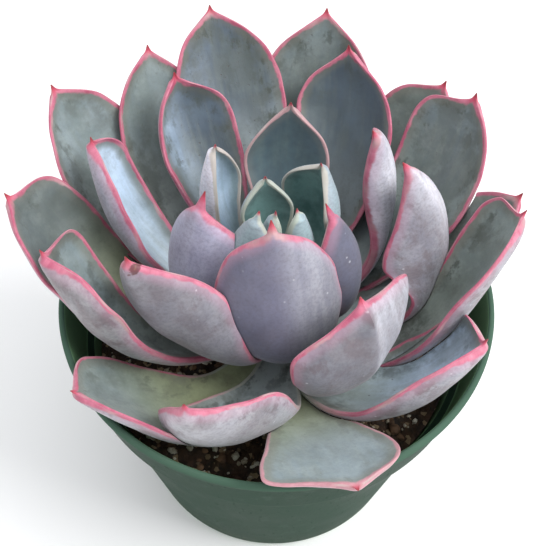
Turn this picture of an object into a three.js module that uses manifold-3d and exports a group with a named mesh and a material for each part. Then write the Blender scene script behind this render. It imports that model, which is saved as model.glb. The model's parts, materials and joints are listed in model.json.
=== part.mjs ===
// Potted echeveria: one fleshy rosette of cupped leaves on a short stem, rooted in
// peat with perlite and bark, in a thin moulded nursery pot. Millimetres, +Z up.
// The origin is the middle of the pot's foot, and the plant is seen from -Y.
import * as THREE from "three";
import { mergeVertices } from "three/addons/utils/BufferGeometryUtils.js";
import Module from "manifold-3d";

const wasm = await Module();
wasm.setup();

// Pot: a standard six inch azalea pot, wider than it is tall.
const RIM_RADIUS = 76;
const POT_HEIGHT = 108;
const FOOT_RADIUS = 55;
const WALL = 1.3;
const FLOOR = 2;
const LIP_WIDTH = 2.3;
const LIP_DEPTH = 3;
const COLLAR_DEPTH = 24;
const COLLAR_STEP = 2.2;
const LEDGE_STEP = 3.1;
const POT_SIDES = 48;
const DRAIN_HOLES = 6;
const DRAIN_RADIUS = 5;

// Soil: fills the pot to 30 mm below the rim.
const SOIL_LEVEL = 78;
const SOIL_LUMP = 1.6;
const SOIL_LUMPS = 150;
const LUMP_SPREAD = 63;
const LUMP_SEED = 4711;
const SOIL_EDGE_DROP = 1.6;
const SOIL_RINGS = 8;
const SOIL_SIDES = 36;

// Stem and rosette. The stem stands a little in front of the pot's middle.
const STEM_Y = -6;
const STEM_FOOT = 52;
const STEM_TOP = 124;
const STEM_SIDES = 14;
const GAP = 0.3;

// Leaf flesh, from the clasping base to the thin coloured margin.
const THICK = 4.8;
const MARGIN = 0.95;
const UPPER_SHARE = 0.3;
const SWELL = 0.75;

const DEG = Math.PI / 180;

const clamp = (x, low, high) => Math.min(high, Math.max(low, x));

function smooth(low, high, x) {
  const s = clamp((x - low) / (high - low), 0, 1);
  return s * s * (3 - 2 * s);
}

// A seeded generator, so that the soil's lumps fall the same way each time.
function seeded(seed) {
  let state = seed;
  return () => {
    state = (state * 16807) % 2147483647;
    return state / 2147483647;
  };
}

// Each leaf is set by hand, lowest first. turn is the way it leaves the stem, in
// degrees from +X; reach, drift and height place its tip along that way, to the
// left of it and above the foot; seat is its height on the stem; launch and arrive
// are its slopes at base and tip; full is how far it bellies out; wide is its
// blade; cup folds it lengthwise; roll turns it over to one side; sway and bend
// carry its middle and its tip sideways.
const COLUMNS = [
  "turn", "reach", "drift", "height", "seat", "launch", "arrive", "full",
  "wide", "cup", "roll", "sway", "bend",
];
const LEAVES = [
  [[276, 76.5, 15, 118.5, 83.5, 0, 34, 0.38, 46, 22, 0, 0, 0],
    { blunt: 0.4, widest: 0.8, waist: 2.6, rightHorn: 8, skew: -0.24, apex: 3 }],
  [[162, 74, 0, 114, 83.5, -5, 40, 0.38, 32, 30, 0, 0, 0], {}],
  [[98, 74, 0, 119, 83.5, 0, 45, 0.38, 34, 30, 0, 0, 0], {}],
  [[234, 74, -22, 124, 84, -5, 60, 0.5, 46, 36, -4, 5, -6],
    { blunt: 0.42, waist: 1.6, neck: 0.32, rightHorn: 3, skew: 0.15, apex: 3.5 }],
  [[132, 75, 0, 117, 84, -3, 42, 0.38, 33, 30, 0, 0, 0], {}],
  [[66, 75, 0, 119, 84, 0, 45, 0.38, 34, 30, 0, 0, 0], {}],
  [[16, 83, -3.5, 141, 84, -6, 68, 0.45, 34, 35, 0, 0, 0], { leftHorn: 5 }],
  [[305, 61, 36, 127.5, 86, 5, 80, 0.48, 42, 60, -14, -8, 45],
    { blunt: 0.3, leftHorn: 6, apex: 5 }],
  [[174, 88, -2, 147, 86, 4, 62, 0.42, 43, 40, 0, 6, 0],
    { blunt: 0.52, rightHorn: 12, apex: 2.4 }],
  [[50, 92, -2, 147, 86, 14, 66, 0.4, 38, 35, 0, 3, 0], { blunt: 0.48, leftHorn: 8 }],
  [[345, 74.5, 30.5, 143, 87, -4, 64, 0.48, 38, 60, -10, -10, 25],
    { blunt: 0.36, widest: 0.8, waist: 2, leftHorn: 18, skew: -0.22, apex: 4.5 }],
  [[148, 95.5, -5, 155, 87, 12, 68, 0.4, 41, 35, 0, 0, 0], { blunt: 0.6, rightHorn: 4 }],
  [[80, 95.5, -1, 160, 88, 16, 70, 0.4, 46, 35, 0, 0, 0], { blunt: 0.54 }],
  [[266, 57.5, -22.5, 133, 88, -5, 100, 0.45, 46, 55, 32, 3, -40],
    { skew: 0.2, widest: 0.62, apex: 1.8 }],
  [[123, 93.5, -3.5, 153, 89, 20, 66, 0.4, 37, 35, 0, 8, 0], { blunt: 0.5 }],
  [[198, 72, -10, 148, 89, 6, 75, 0.42, 38, 75, 12, 10, -10],
    { blunt: 0.4, widest: 0.8, waist: 2.4, rightHorn: 14, skew: 0.05, apex: 3 }],
  [[40, 88, -1.5, 153, 89, 8, 72, 0.42, 38, 40, 0, -8, 0],
    { blunt: 0.48, leftHorn: 13, skew: 0.1 }],
  [[104, 98.5, 2, 160, 91, 30, 62, 0.38, 42, 35, 0, 0, 0],
    { blunt: 0.54, skew: -0.1 }],
  [[310, 36.5, 0, 147, 93, -5, 112, 0.55, 58, 46, 0, 0, 0],
    { leftHorn: 5, rightHorn: 9, skew: 0.14, apex: 2.4, keel: 2.4, crease: 0.16 }],
  [[222, 45.5, -16.5, 152, 93, 18, 84, 0.42, 45, 58, 34, 4, -14],
    { widest: 0.58, waist: 1.1, neck: 0.3, skew: 0.05, keel: 1.8, crease: 0.2 }],
  [[156, 70.5, -5, 151, 94, 20, 80, 0.4, 30, 80, 18, 7, 0],
    { blunt: 0.55, rightHorn: 17, skew: 0.08, apex: 3 }],
  [[70, 81.5, 3, 156, 94, 30, 78, 0.38, 42, 52, -10, -8, 0],
    { blunt: 0.52, leftHorn: 5, skew: -0.06 }],
  [[2, 40, 18.5, 154, 95, -10, 124, 0.75, 48, 60, -30, 0, 0],
    { keel: 1.4, crease: 0.2 }],
  [[122, 73.5, -2.5, 154, 96, 34, 78, 0.4, 34, 62, 0, 2, 0],
    { blunt: 0.44, rightHorn: 4, skew: -0.12 }],
  [[22, 41.5, 20.5, 154, 97, 5, 112, 0.55, 34, 70, -50, 0, 0], { skew: 0.45 }],
  [[82, 46, 2.5, 156, 99, 35, 95, 0.42, 33, 50, 0, 0, 0], {}],
  [[280, 8.5, -4, 158.5, 101, 8, 118, 0.58, 45, 50, 0, 1, 0],
    { blunt: 0.42, widest: 0.62, rightHorn: 2, spur: 2.4, apex: 4 }],
  [[208, 17.5, -15.5, 155, 101, 10, 112, 0.58, 40, 60, 12, 0, 0],
    { leftHorn: 6, rightHorn: 9, skew: 0.3, spur: 3.5, apex: 2.4 }],
  [[126, 37, -1, 151, 103, 30, 100, 0.48, 21, 95, 20, 3, 0],
    { waist: 2, rightHorn: 6, apex: 2.6 }],
  [[342, 12.5, 8, 152, 104, 12, 115, 0.58, 27, 60, 0, 0, 0], { spur: 3, apex: 1.8 }],
  [[52, 26, 3, 151, 106, 30, 105, 0.5, 31, 75, -15, 0, 0], { leftHorn: 5, apex: 2.6 }],
  [[228, 4.5, -4, 153, 109, 22, 115, 0.5, 20, 60, 0, 0, 0], {}],
  [[101, 20.5, 0.5, 147, 109, 45, 98, 0.42, 20, 60, 0, 0, 0], {}],
  [[335, 4, 4.5, 151, 114, 55, 100, 0.4, 11, 60, 0, 0, 0], {}],
  [[200, 0.5, -1.5, 151, 116, 65, 95, 0.4, 9, 60, 0, 0, 0], {}],
];
const ORDINARY = {
  widest: 0.7, waist: 1.5, neck: 0.22, blunt: 0.66, spur: 1.6, apex: 1.7,
  leftHorn: 0, rightHorn: 0, skew: 0, keel: 0.6, crease: 0.35,
};

// How far along the leaf, and how far across, its cross-sections and points lie.
const LONG_STEPS = [0, 0.18, 0.36, 0.52, 0.66, 0.78, 0.87, 0.94, 0.98, 1];
const SHORT_STEPS = [0, 0.2, 0.4, 0.6, 0.77, 0.9, 0.975, 1];
const ACROSS = [-1, -0.78, -0.42, 0, 0.42, 0.78, 1];
const SMALL_BLADE = 35;

function leafSpec([values, shape]) {
  const spec = { ...ORDINARY, ...shape };
  COLUMNS.forEach((column, i) => {
    spec[column] = values[i];
  });
  return spec;
}

const stemRadius = (z) => clamp(8.4 - (z - 84) * 0.16, 2.4, 8.4);

// The midrib is a cubic curve from inside the stem to the tip.
function midrib(spec) {
  const turn = spec.turn * DEG;
  const arriveTurn = (spec.turn + spec.bend) * DEG;
  const out = new THREE.Vector3(Math.cos(turn), Math.sin(turn), 0);
  const side = new THREE.Vector3(-Math.sin(turn), Math.cos(turn), 0);
  const tipOut = new THREE.Vector3(Math.cos(arriveTurn), Math.sin(arriveTurn), 0);
  const tipSide = new THREE.Vector3(-Math.sin(arriveTurn), Math.cos(arriveTurn), 0);
  const rootThick = Math.min(0.8 * THICK, 0.55 * spec.wide * spec.neck);
  const lean = UPPER_SHARE * rootThick * Math.max(0, Math.sin(spec.launch * DEG));
  const base = out.clone().multiplyScalar(stemRadius(spec.seat) + GAP + lean);
  base.add(new THREE.Vector3(0, STEM_Y, spec.seat));
  const tip = out.clone().multiplyScalar(spec.reach).addScaledVector(side, spec.drift);
  tip.add(new THREE.Vector3(0, STEM_Y, spec.height));
  const chord = tip.distanceTo(base);
  const slope = (way, angle) =>
    way.clone().multiplyScalar(Math.cos(angle * DEG)).setZ(Math.sin(angle * DEG));
  const swing = side.clone().multiplyScalar(spec.sway);
  const first = base.clone()
    .addScaledVector(slope(out, spec.launch), spec.full * chord).add(swing);
  const second = tip.clone()
    .addScaledVector(slope(tipOut, spec.arrive), -spec.full * chord).add(swing);
  const curve = new THREE.CubicBezierCurve3(base, first, second, tip);
  return { curve, side, tipSide, chord };
}

// Half of the blade's width at t: narrow at the base, broad near the end, closing
// to a point whose sides run out at the slope apex, and ending in a small tooth.
function halfWidth(spec, chord, t) {
  const bodyEnd = 1 - spec.spur / chord;
  const rise = Math.sin((Math.PI / 2) * clamp(t / spec.widest, 0, 1) ** spec.waist);
  const fall = clamp((t - spec.widest) / (bodyEnd - spec.widest), 0, 1);
  const round = t < spec.widest
    ? spec.neck + (1 - spec.neck) * rise
    : (1 - fall * fall) ** spec.blunt;
  const toEnd = Math.max(1e-3, (bodyEnd - t) * chord);
  const pointed = (spec.apex * toEnd) / (spec.wide / 2);
  const body = (Math.max(round, 1e-3) ** -6 + pointed ** -6) ** (-1 / 6);
  const tooth = 0.07 * clamp((1 - t) / (1 - bodyEnd) / 2.2, 0, 1) + 0.02;
  return (spec.wide / 2) * Math.max(body, tooth);
}

// One closed leaf. grow swells it all round, for the clearance that it needs.
function leafSolid(spec, grow) {
  const { curve, side, tipSide, chord } = midrib(spec);
  const steps = spec.wide < SMALL_BLADE ? SHORT_STEPS : LONG_STEPS;
  const points = [];
  for (const t of steps) {
    const centre = curve.getPoint(t);
    const along = curve.getTangent(t);
    const across = side.clone().lerp(tipSide, t);
    across.addScaledVector(along, -along.dot(across)).normalize();
    const up = new THREE.Vector3().crossVectors(along, across);
    const roll = spec.roll * DEG * smooth(0, 0.8, t);
    const left = across.clone().multiplyScalar(Math.cos(roll)).addScaledVector(up, Math.sin(roll));
    const lift = up.clone().multiplyScalar(Math.cos(roll)).addScaledVector(across, -Math.sin(roll));
    const half = halfWidth(spec, chord, t);
    const cup = spec.cup * DEG * (0.55 + 0.45 * smooth(0, 0.6, t));
    const flesh = THICK * (0.8 + 0.2 * smooth(0, 0.3, t)) * (1 - 0.45 * smooth(0.6, 0.95, t));
    const room = Math.min(flesh, half * 1.1);
    const keel = spec.keel * smooth(0.4, 0.8, t) * Math.min(1, half / 8);
    const row = { top: [], bottom: [] };
    for (const v of ACROSS) {
      const angle = cup * v;
      const reach = half * (1 + spec.skew * v) + grow;
      const sideways = (reach * Math.sin(angle)) / cup;
      const rise = (reach * (1 - Math.cos(angle))) / cup;
      const horn = v > 0 ? spec.leftHorn : spec.rightHorn;
      const ahead = horn * (Math.abs(sideways) / (spec.wide / 2)) ** 1.5 * smooth(0.3, 0.8, t);
      const middle = centre.clone().addScaledVector(left, sideways)
        .addScaledVector(lift, rise).addScaledVector(along, ahead);
      const normal = lift.clone().multiplyScalar(Math.cos(angle))
        .addScaledVector(left, -Math.sin(angle));
      const swell = Math.max(0, 1 - Math.abs(v) ** 2.5) ** SWELL;
      const edge = Math.min(MARGIN, room);
      const thick = edge + (room - edge) * swell;
      const ridge = keel * Math.exp(-(Math.abs(v / spec.crease) ** 1.5));
      row.top.push(middle.clone().addScaledVector(normal, UPPER_SHARE * thick + grow));
      row.bottom.push(
        middle.clone().addScaledVector(normal, (UPPER_SHARE - 1) * thick - ridge - grow),
      );
    }
    points.push([...row.top, ...row.bottom.reverse()]);
  }
  return solidOf(ringedGeometry(points));
}

// Joins rows of points, each a loop of a flat strip, into one closed surface.
// Both ends are closed across the strip.
function ringedGeometry(rows) {
  const loop = rows[0].length;
  const index = [];
  const at = (row, i) => row * loop + (i % loop);
  for (let row = 0; row + 1 < rows.length; row++)
    for (let i = 0; i < loop; i++)
      index.push(
        at(row, i), at(row + 1, i + 1), at(row, i + 1),
        at(row, i), at(row + 1, i), at(row + 1, i + 1),
      );
  const last = rows.length - 1;
  for (let i = 0; i + 1 < loop / 2; i++) {
    const other = loop - 1 - i;
    index.push(at(0, i), at(0, other - 1), at(0, other));
    index.push(at(0, i), at(0, i + 1), at(0, other - 1));
    index.push(at(last, i), at(last, other), at(last, other - 1));
    index.push(at(last, i), at(last, other - 1), at(last, i + 1));
  }
  const geometry = new THREE.BufferGeometry().setFromPoints(rows.flat());
  return geometry.setIndex(index);
}

function solidOf(geometry) {
  const bare = geometry.clone();
  bare.deleteAttribute("normal");
  bare.deleteAttribute("uv");
  const merged = mergeVertices(bare, 1e-4);
  return new wasm.Manifold(
    new wasm.Mesh({
      numProp: 3,
      vertProperties: merged.attributes.position.array,
      triVerts: new Uint32Array(merged.index.array),
    }),
  );
}

function meshOf(name, solid, material) {
  const { vertProperties, triVerts } = solid.getMesh();
  const geometry = new THREE.BufferGeometry();
  geometry.setAttribute("position", new THREE.BufferAttribute(vertProperties, 3));
  geometry.setIndex(new THREE.BufferAttribute(triVerts, 1));
  geometry.computeVertexNormals();
  const mesh = new THREE.Mesh(geometry, material);
  mesh.name = name;
  return mesh;
}

function turned(profile, sides) {
  const points = profile.map(([radius, z]) => new THREE.Vector2(radius, z));
  return new THREE.LatheGeometry(points, sides).rotateX(Math.PI / 2);
}

const collarInside = (z) =>
  RIM_RADIUS - LIP_WIDTH - (COLLAR_STEP + 1.2) * ((POT_HEIGHT - z) / COLLAR_DEPTH);
const ledgeZ = POT_HEIGHT - COLLAR_DEPTH;
const ledgeRadius = collarInside(ledgeZ) - LEDGE_STEP;
const wallInside = (z) =>
  FOOT_RADIUS - WALL + ((ledgeRadius - FOOT_RADIUS + WALL) * z) / (ledgeZ - 1.5);

function pot() {
  const collarOutside = (z) => collarInside(z) + WALL;
  const profile = [
    [0, 0], [FOOT_RADIUS - 2, 0], [FOOT_RADIUS, 2],
    [wallInside(ledgeZ - 4) + WALL, ledgeZ - 4],
    [collarOutside(ledgeZ - 1), ledgeZ - 1],
    [collarOutside(POT_HEIGHT - LIP_DEPTH - 1), POT_HEIGHT - LIP_DEPTH - 1],
    [RIM_RADIUS - 0.5, POT_HEIGHT - LIP_DEPTH], [RIM_RADIUS, POT_HEIGHT - LIP_DEPTH + 0.8],
    [RIM_RADIUS, POT_HEIGHT - 0.8], [RIM_RADIUS - 0.8, POT_HEIGHT],
    [RIM_RADIUS - LIP_WIDTH + 0.6, POT_HEIGHT], [RIM_RADIUS - LIP_WIDTH, POT_HEIGHT - 0.7],
    [collarInside(ledgeZ), ledgeZ], [ledgeRadius + 0.5, ledgeZ - 1.2],
    [ledgeRadius, ledgeZ - 1.9], [wallInside(4), 4], [wallInside(4) - 2, FLOOR],
    [0, FLOOR],
  ];
  let solid = solidOf(turned(profile, POT_SIDES));
  for (let hole = 0; hole < DRAIN_HOLES; hole++) {
    const turn = ((hole + 0.5) / DRAIN_HOLES) * 2 * Math.PI;
    const drain = new THREE.CylinderGeometry(DRAIN_RADIUS, DRAIN_RADIUS, 12, 16)
      .rotateX(Math.PI / 2)
      .translate((FOOT_RADIUS - 9) * Math.cos(turn), (FOOT_RADIUS - 9) * Math.sin(turn), 0);
    solid = solid.subtract(solidOf(drain));
  }
  const plastic = new THREE.MeshStandardMaterial({
    color: "#465a50", roughness: 0.42, metalness: 0,
  });
  return meshOf("pot", solid, plastic);
}

// The soil's height: chunks of peat, perlite and bark, lower at the pot's wall.
function soilSurface() {
  const draw = seeded(LUMP_SEED);
  const lumps = [];
  for (let i = 0; i < SOIL_LUMPS; i++) {
    const radius = LUMP_SPREAD * Math.sqrt(draw());
    const turn = draw() * 2 * Math.PI;
    const size = 3 + 3.5 * draw();
    lumps.push([radius * Math.cos(turn), radius * Math.sin(turn), size]);
  }
  return (x, y) => {
    let height = 0;
    for (const [lumpX, lumpY, size] of lumps) {
      const near = Math.hypot(x - lumpX, y - lumpY) / size;
      if (near < 1) height = Math.max(height, SOIL_LUMP * (1 - near * near) * (size / 5));
    }
    return SOIL_LEVEL - 1 + height;
  };
}

function soil() {
  const surface = soilSurface();
  const rows = [];
  const edge = wallInside(SOIL_LEVEL - SOIL_EDGE_DROP) - 1.5 * GAP;
  const foot = wallInside(6) - GAP;
  const ring = (radius, heightAt) => {
    const row = [];
    for (let i = 0; i < SOIL_SIDES; i++) {
      const turn = (i / SOIL_SIDES) * 2 * Math.PI;
      const x = radius * Math.cos(turn);
      const y = radius * Math.sin(turn);
      row.push(new THREE.Vector3(x, y, heightAt(x, y)));
    }
    return row;
  };
  rows.push(ring(foot - 4, () => FLOOR + GAP), ring(foot, () => 6));
  rows.push(ring(edge, () => SOIL_LEVEL - SOIL_EDGE_DROP));
  for (let i = 1; i <= SOIL_RINGS; i++)
    rows.push(ring(edge * (1 - i / (SOIL_RINGS + 1)) + 0.01, surface));
  const points = rows.flat();
  const index = [];
  const at = (row, i) => row * SOIL_SIDES + (i % SOIL_SIDES);
  for (let row = 0; row + 1 < rows.length; row++)
    for (let i = 0; i < SOIL_SIDES; i++)
      index.push(
        at(row, i), at(row, i + 1), at(row + 1, i + 1),
        at(row, i), at(row + 1, i + 1), at(row + 1, i),
      );
  const low = points.push(new THREE.Vector3(0, 0, FLOOR + GAP)) - 1;
  const high = points.push(new THREE.Vector3(0, 0, SOIL_LEVEL)) - 1;
  for (let i = 0; i < SOIL_SIDES; i++) {
    index.push(low, at(0, i + 1), at(0, i));
    index.push(high, at(rows.length - 1, i), at(rows.length - 1, i + 1));
  }
  const geometry = new THREE.BufferGeometry().setFromPoints(points).setIndex(index);
  const peat = new THREE.MeshStandardMaterial({
    color: "#3a2d26", roughness: 0.95, metalness: 0,
  });
  return meshOf("soil", solidOf(geometry).subtract(stemSolid(GAP)), peat);
}

function stemProfile(grow) {
  const profile = [[0, STEM_FOOT - grow], [3 + grow, STEM_FOOT - grow]];
  for (const z of [62, 74, 84, 100, 114, STEM_TOP - 2])
    profile.push([stemRadius(z) * Math.min(1, 0.55 + (z - STEM_FOOT) / 50) + grow, z]);
  profile.push([1 + grow, STEM_TOP + grow], [0, STEM_TOP + grow]);
  return profile;
}

const stemSolid = (grow) =>
  solidOf(turned(stemProfile(grow), STEM_SIDES).translate(0, STEM_Y, 0));

function stem() {
  const bark = new THREE.MeshStandardMaterial({
    color: "#8d8a63", roughness: 0.8, metalness: 0,
  });
  return meshOf("stem", stemSolid(0), bark);
}

function largest(solid) {
  return solid.decompose().reduce((a, b) => (a.volume() > b.volume() ? a : b));
}

// Leaves from the heart outwards. Each is trimmed clear of the
// stem and of the leaves inside it, as leaves that grow pressed together are.
function leaves() {
  const meshes = [];
  const clearances = [stemSolid(GAP)];
  for (let i = LEAVES.length - 1; i >= 0; i--) {
    const spec = leafSpec(LEAVES[i]);
    let solid = leafSolid(spec, 0);
    for (const clearance of clearances) solid = solid.subtract(clearance);
    clearances.push(leafSolid(spec, GAP));
    const skin = new THREE.MeshStandardMaterial({
      color: "#8f9da3", roughness: 0.6, metalness: 0,
    });
    meshes.push(meshOf(`leaf_${String(i + 1).padStart(2, "0")}`, largest(solid), skin));
  }
  return meshes.reverse();
}

const plant = new THREE.Group();
plant.add(pot(), soil(), stem(), ...leaves());

export default plant;
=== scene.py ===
import json
import math
import random

import bmesh
import bpy
import numpy as np
from mathutils import Matrix, Vector, noise
from mathutils.kdtree import KDTree

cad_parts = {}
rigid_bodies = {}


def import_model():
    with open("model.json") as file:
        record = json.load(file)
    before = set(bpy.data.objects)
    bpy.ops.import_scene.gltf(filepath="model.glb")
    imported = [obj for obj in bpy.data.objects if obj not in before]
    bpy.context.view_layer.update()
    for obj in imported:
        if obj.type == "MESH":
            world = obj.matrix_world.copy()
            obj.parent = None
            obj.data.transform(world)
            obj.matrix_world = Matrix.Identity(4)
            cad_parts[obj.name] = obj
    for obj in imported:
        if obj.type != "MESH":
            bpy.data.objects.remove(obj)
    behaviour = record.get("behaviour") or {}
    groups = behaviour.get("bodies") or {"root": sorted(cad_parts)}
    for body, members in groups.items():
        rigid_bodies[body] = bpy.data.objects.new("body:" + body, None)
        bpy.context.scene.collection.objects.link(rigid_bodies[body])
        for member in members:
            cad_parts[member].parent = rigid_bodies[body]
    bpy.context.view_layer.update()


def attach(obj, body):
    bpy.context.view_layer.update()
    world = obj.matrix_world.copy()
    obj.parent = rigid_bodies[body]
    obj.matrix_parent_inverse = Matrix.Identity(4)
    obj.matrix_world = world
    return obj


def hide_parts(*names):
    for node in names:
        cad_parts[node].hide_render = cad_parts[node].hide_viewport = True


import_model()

# POT. A six inch azalea pot of thin dark green polypropylene, injection moulded:
# a tapered wall, a wider collar, a rolled lip and six drain holes round the foot.
MM = 0.001
RIM_RADIUS = 76
POT_HEIGHT = 108
FOOT_RADIUS = 55
WALL = 1.3
FLOOR = 2
LIP_WIDTH = 2.3
LIP_DEPTH = 3
COLLAR_DEPTH = 24
COLLAR_STEP = 2.2
LEDGE_STEP = 3.1
POT_SIDES = 256
DRAIN_HOLES = 6
DRAIN_RADIUS = 5
ledge_z = POT_HEIGHT - COLLAR_DEPTH


def collar_inside(z):
    return RIM_RADIUS - LIP_WIDTH - (COLLAR_STEP + 1.2) * (POT_HEIGHT - z) / COLLAR_DEPTH


ledge_radius = collar_inside(ledge_z) - LEDGE_STEP


def wall_inside(z):
    return FOOT_RADIUS - WALL + (ledge_radius - FOOT_RADIUS + WALL) * z / (ledge_z - 1.5)


def rounded(profile, radii, steps=5):
    """The profile with each corner turned into a small curve, cut back by its radius."""
    path = []
    for i, (corner, radius) in enumerate(zip(profile, radii)):
        corner = Vector(corner)
        if radius == 0 or i in (0, len(profile) - 1):
            path.append(tuple(corner))
            continue
        before = Vector(profile[i - 1]) - corner
        after = Vector(profile[i + 1]) - corner
        back = min(radius, before.length * 0.45, after.length * 0.45)
        start = corner + before.normalized() * back
        end = corner + after.normalized() * back
        for step in range(steps + 1):
            s = step / steps
            path.append(tuple(start * (1 - s) ** 2 + corner * 2 * s * (1 - s) + end * s * s))
    return path


def lathe(name, path, sides, middle=(0, 0)):
    """A closed turned mesh from a path of (radius, z) that starts and ends on the axis."""
    made = bmesh.new()
    rings = []
    for radius, z in path:
        if radius < 1e-6:
            rings.append([made.verts.new((middle[0] * MM, middle[1] * MM, z * MM))] * sides)
            continue
        ring = []
        for i in range(sides):
            turn = 2 * math.pi * i / sides
            x = middle[0] + radius * math.cos(turn)
            y = middle[1] + radius * math.sin(turn)
            ring.append(made.verts.new((x * MM, y * MM, z * MM)))
        rings.append(ring)
    for low, high in zip(rings, rings[1:]):
        for i in range(sides):
            j = (i + 1) % sides
            corners = []
            for vert in (low[i], low[j], high[j], high[i]):
                if vert not in corners:
                    corners.append(vert)
            made.faces.new(corners)
    bmesh.ops.recalc_face_normals(made, faces=made.faces)
    mesh = bpy.data.meshes.new(name)
    made.to_mesh(mesh)
    made.free()
    return shown(name, mesh)


def shown(name, mesh, smooth_below=40):
    """An object of that mesh, shaded smooth but for its sharp edges."""
    mesh.shade_smooth()
    mesh.set_sharp_from_angle(angle=math.radians(smooth_below))
    piece = bpy.data.objects.new(name, mesh)
    bpy.context.scene.collection.objects.link(piece)
    return piece


def cut_away(piece, cutters):
    """Takes the solids in the collection cutters away from piece, for good."""
    cut = piece.modifiers.new("cut", "BOOLEAN")
    cut.operation = "DIFFERENCE"
    cut.solver = "MANIFOLD"
    cut.operand_type = "COLLECTION"
    cut.collection = cutters
    ready = bpy.context.evaluated_depsgraph_get()
    mesh = bpy.data.meshes.new_from_object(piece.evaluated_get(ready))
    piece.modifiers.clear()
    mesh.materials.clear()
    old = piece.data
    piece.data = mesh
    mesh.name = piece.name
    bpy.data.meshes.remove(old)


def stepped_out(collection):
    """Removes the collection and everything in it."""
    for made in list(collection.objects):
        mesh = made.data
        bpy.data.objects.remove(made)
        bpy.data.meshes.remove(mesh)
    bpy.data.collections.remove(collection)


def paint(material):
    """A new material with nodes, its tree, its shader and a function that adds nodes."""
    made = bpy.data.materials.new(material)
    made.use_nodes = True
    tree = made.node_tree
    return made, tree, tree.nodes["Principled BSDF"], adder(tree)


def adder(tree):
    """A function that adds a node to tree, with settings, and values or links by socket."""

    def add(kind, sockets=None, **settings):
        made = tree.nodes.new("ShaderNode" + kind)
        for key, value in settings.items():
            setattr(made, key, value)
        for key, value in (sockets or {}).items():
            if isinstance(value, bpy.types.NodeSocket):
                tree.links.new(value, made.inputs[key])
            else:
                made.inputs[key].default_value = value
        return made

    return add


def tint(code, alpha=1.0):
    """The linear colour of a hex code as it looks on a screen."""
    parts = [int(code[i : i + 2], 16) / 255 for i in (1, 3, 5)]
    linear = [p / 12.92 if p <= 0.04045 else ((p + 0.055) / 1.055) ** 2.4 for p in parts]
    return (*linear, alpha)


def blend_colour(add, share, first, second):
    """The output of a node that mixes two colours by share."""
    made = add("Mix", {0: share, 6: first, 7: second}, data_type="RGBA")
    return made.outputs[2]


def between(add, value, low, high, start=0.0, end=1.0):
    """The value carried smoothly from low..high to start..end, held at both ends."""
    made = add(
        "MapRange",
        {0: value, 1: low, 2: high, 3: start, 4: end},
        interpolation_type="SMOOTHSTEP",
    )
    return made.outputs[0]


pot_profile = [
    (0, 0), (FOOT_RADIUS - 2, 0), (FOOT_RADIUS, 2),
    (wall_inside(ledge_z - 4) + WALL, ledge_z - 4),
    (collar_inside(ledge_z - 1) + WALL, ledge_z - 1),
    (collar_inside(POT_HEIGHT - LIP_DEPTH - 1) + WALL, POT_HEIGHT - LIP_DEPTH - 1),
    (RIM_RADIUS - 0.5, POT_HEIGHT - LIP_DEPTH), (RIM_RADIUS, POT_HEIGHT - LIP_DEPTH + 0.8),
    (RIM_RADIUS, POT_HEIGHT - 0.8), (RIM_RADIUS - 0.8, POT_HEIGHT),
    (RIM_RADIUS - LIP_WIDTH + 0.6, POT_HEIGHT), (RIM_RADIUS - LIP_WIDTH, POT_HEIGHT - 0.7),
    (collar_inside(ledge_z), ledge_z), (ledge_radius + 0.5, ledge_z - 1.2),
    (ledge_radius, ledge_z - 1.9), (wall_inside(4), 4), (wall_inside(4) - 2, FLOOR),
    (0, FLOOR),
]
pot_corners = [0, 1, 1, 1.5, 1.2, 0.8, 0.4, 0.5, 0.6, 0.6, 0.4, 0.5, 1, 0.6, 0.8, 1.5, 1, 0]
pot = lathe("pot_shell", rounded(pot_profile, pot_corners), POT_SIDES)
drains = bpy.data.collections.new("drains")
for hole in range(DRAIN_HOLES):
    turn = (hole + 0.5) / DRAIN_HOLES * 2 * math.pi
    at = ((FOOT_RADIUS - 9) * math.cos(turn), (FOOT_RADIUS - 9) * math.sin(turn))
    drill = lathe(f"drain_{hole}", [(0, -6), (DRAIN_RADIUS, -6), (DRAIN_RADIUS, 6), (0, 6)], 40, at)
    bpy.context.scene.collection.objects.unlink(drill)
    drains.objects.link(drill)
cut_away(pot, drains)
stepped_out(drains)
pot.data.shade_smooth()
pot.data.set_sharp_from_angle(angle=math.radians(40))
inside = []
for vert in pot.data.vertices:
    z = vert.co.z / MM
    wall = collar_inside(z) if z > ledge_z else wall_inside(z)
    radius = math.hypot(vert.co.x, vert.co.y) / MM
    inside.append(float(radius < wall + WALL / 3 and z < POT_HEIGHT - 0.5))
pot.data.attributes.new("inside", "FLOAT", "POINT").data.foreach_set("value", inside)

green, tree, shader, add = paint("green_polypropylene")
place = add("TexCoord").outputs["Object"]
cloud = add("TexNoise", {"Vector": place, "Scale": 22, "Detail": 4, "Roughness": 0.6})
dust = add("TexNoise", {"Vector": place, "Scale": 160, "Detail": 3, "Roughness": 0.7})
stretched = add("Mapping", {"Vector": place, "Scale": (1, 1, 0.16), "Rotation": (0.3, 0.2, 0)})
scratch = add("TexNoise", {"Vector": stretched.outputs[0], "Scale": 900, "Detail": 2})
fine = add("TexNoise", {"Vector": place, "Scale": 2600, "Detail": 1})
height = add("SeparateXYZ", {0: place}).outputs["Z"]
body = blend_colour(
    add, between(add, cloud.outputs[0], 0.3, 0.7), tint("#293d31"), tint("#31463a"),
)
splash = add("Math", {0: between(add, dust.outputs[0], 0.56, 0.72), 1: 0.12}, operation="MULTIPLY")
body = blend_colour(add, splash.outputs[0], body, tint("#6f8177"))
low = between(add, height, 0.02, 0.0, 0.0, 0.2)
body = blend_colour(add, low, body, tint("#4c5a4b"))
# The top of the lip is painted a lighter green: a painted highlight along the rim.
lip_painted_highlight = between(add, height, 0.1045, 0.1072, 0.0, 0.5)
body = blend_colour(add, lip_painted_highlight, body, tint("#5b7767"))
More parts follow.
